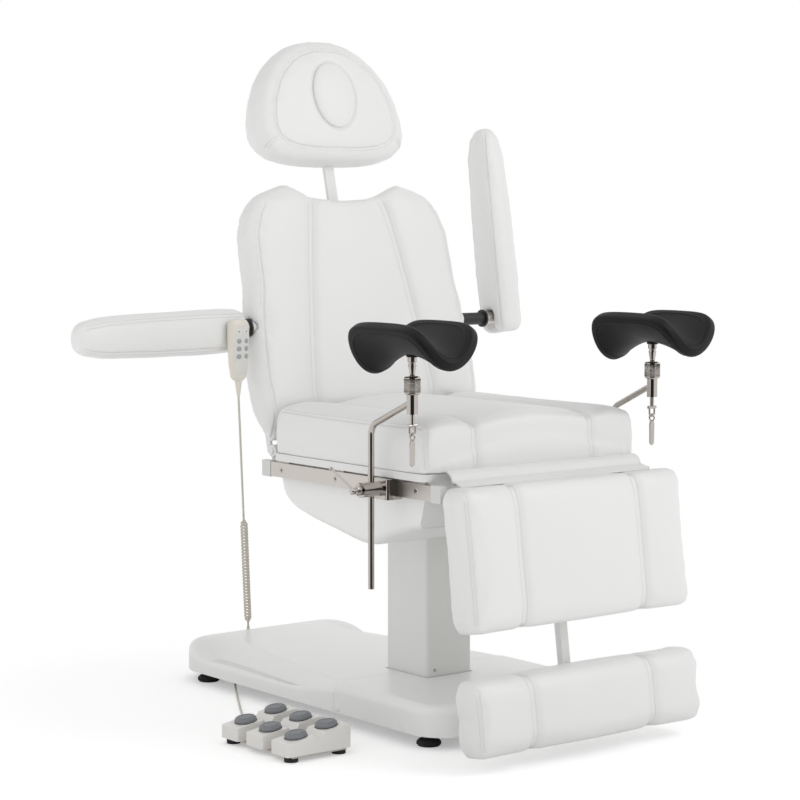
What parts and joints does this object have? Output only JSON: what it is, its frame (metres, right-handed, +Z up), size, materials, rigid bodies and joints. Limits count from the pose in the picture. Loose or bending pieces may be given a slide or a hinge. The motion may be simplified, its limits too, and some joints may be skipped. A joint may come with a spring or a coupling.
{
  "type": "gynecological examination chair",
  "caption": "Powered examination chair: lifting column, cushioned seat, reclining back, head, leg and foot rests, arm rests, knee stirrups on side rails, handset and foot control.",
  "frame": {"origin": "on the floor, in the middle of the chair's floor area measured without the free cords", "axes": "+Z up, the chair faces -Y, +X to the sitter's left"},
  "size_m": [1.2297, 1.1985, 1.4476],
  "materials": {
    "upholstery": "satin white leather",
    "black_pad": "black leather, soft sheen",
    "moulding": "glossy light grey moulding",
    "painted_steel": "white powder coat",
    "steel": "stainless, satin",
    "bright_steel": "polished",
    "grey_plastic": "matte grey",
    "pedal_plastic": "matte warm grey",
    "handset_plastic": "matte cream",
    "black_plastic": "matte black",
    "rubber": "matte black",
    "cord": "matte cream",
    "board": "white coated plywood"
  },
  "bodies": {
    "base": {"base_frame": "painted_steel", "base_cover_rear": "moulding", "base_cover_front": "moulding", "levelling_feet": "rubber", "column_outer": "painted_steel", "lift_actuator": "painted_steel", "control_box": "grey_plastic", "pedal_plate": "steel", "pedal_housings": "pedal_plastic", "pedal_feet": "rubber", "pedal_cord": "cord", "handset_cord": "cord", "handset_curl": "cord"},
    "carriage": {"column_inner": "steel", "seat_frame": "painted_steel", "seat_board": "board", "seat_under_cover": "moulding", "seat_cushion": "upholstery", "side_rails": "steel", "rail_end_caps": "grey_plastic", "actuator_housings": "grey_plastic"},
    "back": {"back_frame": "painted_steel", "back_shell": "moulding", "back_cushion": "upholstery", "arm_sockets": "painted_steel"},
    "head": {"head_bar": "steel", "head_cushion": "upholstery", "head_inset": "upholstery"},
    "leg": {"leg_frame": "painted_steel", "calf_cushion": "upholstery", "leg_bridge": "upholstery"},
    "foot": {"foot_bar": "painted_steel", "foot_cushion": "upholstery"},
    "back_rod": {"back_rod": "bright_steel"},
    "leg_rod": {"leg_rod": "bright_steel"},
    "button_1_outer": {"pedal_button_1_outer": "grey_plastic"},
    "button_1_inner": {"pedal_button_1_inner": "grey_plastic"},
    "button_2_outer": {"pedal_button_2_outer": "grey_plastic"},
    "button_2_inner": {"pedal_button_2_inner": "grey_plastic"},
    "button_3_outer": {"pedal_button_3_outer": "grey_plastic"},
    "button_3_inner": {"pedal_button_3_inner": "grey_plastic"},
    "clamp_right": {"rail_clamp_right": "bright_steel"},
    "clamp_screw_right": {"clamp_screw_right": "bright_steel"},
    "stirrup_right": {"stirrup_rod_right": "bright_steel"},
    "ball_right": {"ball_stud_right": "bright_steel"},
    "knee_pad_right": {"knee_pad_right": "black_pad"},
    "ball_lever_right": {"ball_lever_right": "bright_steel"},
    "arm_sleeve_right": {"arm_sleeve_right": "black_plastic"},
    "arm_bracket_right": {"arm_bracket_right": "steel"},
    "arm_right": {"arm_cushion_right": "upholstery", "handset_body": "handset_plastic"},
    "clamp_left": {"rail_clamp_left": "bright_steel"},
    "clamp_screw_left": {"clamp_screw_left": "bright_steel"},
    "stirrup_left": {"stirrup_rod_left": "bright_steel"},
    "ball_left": {"ball_stud_left": "bright_steel"},
    "knee_pad_left": {"knee_pad_left": "black_pad"},
    "ball_lever_left": {"ball_lever_left": "bright_steel"},
    "arm_sleeve_left": {"arm_sleeve_left": "black_plastic"},
    "arm_bracket_left": {"arm_bracket_left": "steel"},
    "arm_left": {"arm_cushion_left": "upholstery"}
  },
  "joints": [
    {"name": "column_lift", "type": "slide", "parent": "base", "child": "carriage", "axis": [0, 0, 1], "range_m": [0, 0.25]},
    {"name": "button_1_outer_press", "type": "slide", "parent": "base", "child": "button_1_outer", "axis": [0.1564, 0, -0.9877], "range_m": [0, 0.004], "stiffness_N_per_m": 900, "springref_m": -0.001},
    {"name": "button_1_inner_press", "type": "slide", "parent": "base", "child": "button_1_inner", "axis": [0.1564, 0, -0.9877], "range_m": [0, 0.004], "stiffness_N_per_m": 900, "springref_m": -0.001},
    {"name": "button_2_outer_press", "type": "slide", "parent": "base", "child": "button_2_outer", "axis": [0.1564, 0, -0.9877], "range_m": [0, 0.004], "stiffness_N_per_m": 900, "springref_m": -0.001},
    {"name": "button_2_inner_press", "type": "slide", "parent": "base", "child": "button_2_inner", "axis": [0.1564, 0, -0.9877], "range_m": [0, 0.004], "stiffness_N_per_m": 900, "springref_m": -0.001},
    {"name": "button_3_outer_press", "type": "slide", "parent": "base", "child": "button_3_outer", "axis": [0.1564, 0, -0.9877], "range_m": [0, 0.004], "stiffness_N_per_m": 900, "springref_m": -0.001},
    {"name": "button_3_inner_press", "type": "slide", "parent": "base", "child": "button_3_inner", "axis": [0.1564, 0, -0.9877], "range_m": [0, 0.004], "stiffness_N_per_m": 900, "springref_m": -0.001},
    {"name": "back_recline", "type": "hinge", "parent": "carriage", "child": "back", "pos_m": [0.1635, 0.153, 0.562], "axis": [-1, 0, 0], "range_deg": [0, 65]},
    {"name": "headrest_slide", "type": "slide", "parent": "back", "child": "head", "axis": [0, 0.2334, 0.9724], "range_m": [-0.055, 0.06]},
    {"name": "legrest_raise", "type": "hinge", "parent": "carriage", "child": "leg", "pos_m": [0.1635, -0.413, 0.547], "axis": [-1, 0, 0], "range_deg": [0, 82]},
    {"name": "footrest_slide", "type": "slide", "parent": "leg", "child": "foot", "axis": [0, -0.1392, -0.9903], "range_m": [-0.074, 0.02]},
    {"name": "back_rod_slide", "type": "slide", "parent": "carriage", "child": "back_rod", "axis": [0, 1, 0], "range_m": [-0.066, 0.001]},
    {"name": "leg_rod_slide", "type": "slide", "parent": "carriage", "child": "leg_rod", "axis": [0, -1, 0], "range_m": [-0.001, 0.08]},
    {"name": "arm_pull_right", "type": "slide", "parent": "back", "child": "arm_sleeve_right", "axis": [-1, 0, 0], "range_m": [0, 0.066]},
    {"name": "arm_pull_left", "type": "slide", "parent": "back", "child": "arm_sleeve_left", "axis": [1, 0, 0], "range_m": [-0.066, 0.15]},
    {"name": "arm_raise_right", "type": "hinge", "parent": "arm_sleeve_right", "child": "arm_bracket_right", "pos_m": [-0.184, 0.19919, 0.82293], "axis": [-1, 0, 0], "range_deg": [0, 98]},
    {"name": "arm_raise_left", "type": "hinge", "parent": "arm_sleeve_left", "child": "arm_bracket_left", "pos_m": [0.577, 0.19919, 0.82293], "axis": [-1, 0, 0], "range_deg": [-98.6, 0]},
    {"name": "arm_swing_right", "type": "hinge", "parent": "arm_bracket_right", "child": "arm_right", "pos_m": [-0.184, 0.19919, 0.82293], "axis": [0, 0, -1], "range_deg": [-32, 13]},
    {"name": "arm_swing_left", "type": "hinge", "parent": "arm_bracket_left", "child": "arm_left", "pos_m": [0.577, 0.19919, 0.82293], "axis": [0, 0.9888, -0.1495], "range_deg": [0, 90]},
    {"name": "clamp_slide_right", "type": "slide", "parent": "carriage", "child": "clamp_right", "axis": [0, 1, 0], "range_m": [-0.1, 0.3]},
    {"name": "clamp_screw_turn_right", "type": "hinge", "parent": "clamp_right", "child": "clamp_screw_right", "pos_m": [-0.1765, -0.274, 0.5265], "axis": [-1, 0, 0], "continuous": true},
    {"name": "stirrup_height_right", "type": "slide", "parent": "clamp_right", "child": "stirrup_right", "axis": [0, 0, 1], "range_m": [-0.07, 0.15]},
    {"name": "ball_tilt_right", "type": "hinge", "parent": "stirrup_right", "child": "ball_right", "pos_m": [-0.1575, -0.398, 0.742], "axis": [1, 0, 0], "range_deg": [-20, 20]},
    {"name": "pad_swivel_right", "type": "hinge", "parent": "ball_right", "child": "knee_pad_right", "pos_m": [-0.1575, -0.398, 0.742], "axis": [0, 0, 1], "range_deg": [-90, 90]},
    {"name": "ball_lever_turn_right", "type": "hinge", "parent": "stirrup_right", "child": "ball_lever_right", "pos_m": [-0.1575, -0.398, 0.68], "axis": [0, 0, 1], "continuous": true},
    {"name": "clamp_slide_left", "type": "slide", "parent": "carriage", "child": "clamp_left", "axis": [0, 1, 0], "range_m": [-0.1, 0.3]},
    {"name": "clamp_screw_turn_left", "type": "hinge", "parent": "clamp_left", "child": "clamp_screw_left", "pos_m": [0.5035, -0.274, 0.5265], "axis": [1, 0, 0], "continuous": true},
    {"name": "stirrup_height_left", "type": "slide", "parent": "clamp_left", "child": "stirrup_left", "axis": [0, 0, 1], "range_m": [-0.07, 0.15]},
    {"name": "ball_tilt_left", "type": "hinge", "parent": "stirrup_left", "child": "ball_left", "pos_m": [0.4845, -0.398, 0.742], "axis": [1, 0, 0], "range_deg": [-20, 20]},
    {"name": "pad_swivel_left", "type": "hinge", "parent": "ball_left", "child": "knee_pad_left", "pos_m": [0.4845, -0.398, 0.742], "axis": [0, 0, 1], "range_deg": [-90, 90]},
    {"name": "ball_lever_turn_left", "type": "hinge", "parent": "stirrup_left", "child": "ball_lever_left", "pos_m": [0.4845, -0.398, 0.68], "axis": [0, 0, 1], "continuous": true}
  ],
  "couplings": [
    {"joint": "back_rod_slide", "follows": "back_recline", "m_per_rad": -0.056414},
    {"joint": "leg_rod_slide", "follows": "legrest_raise", "m_per_rad": 0.05485}
  ]
}
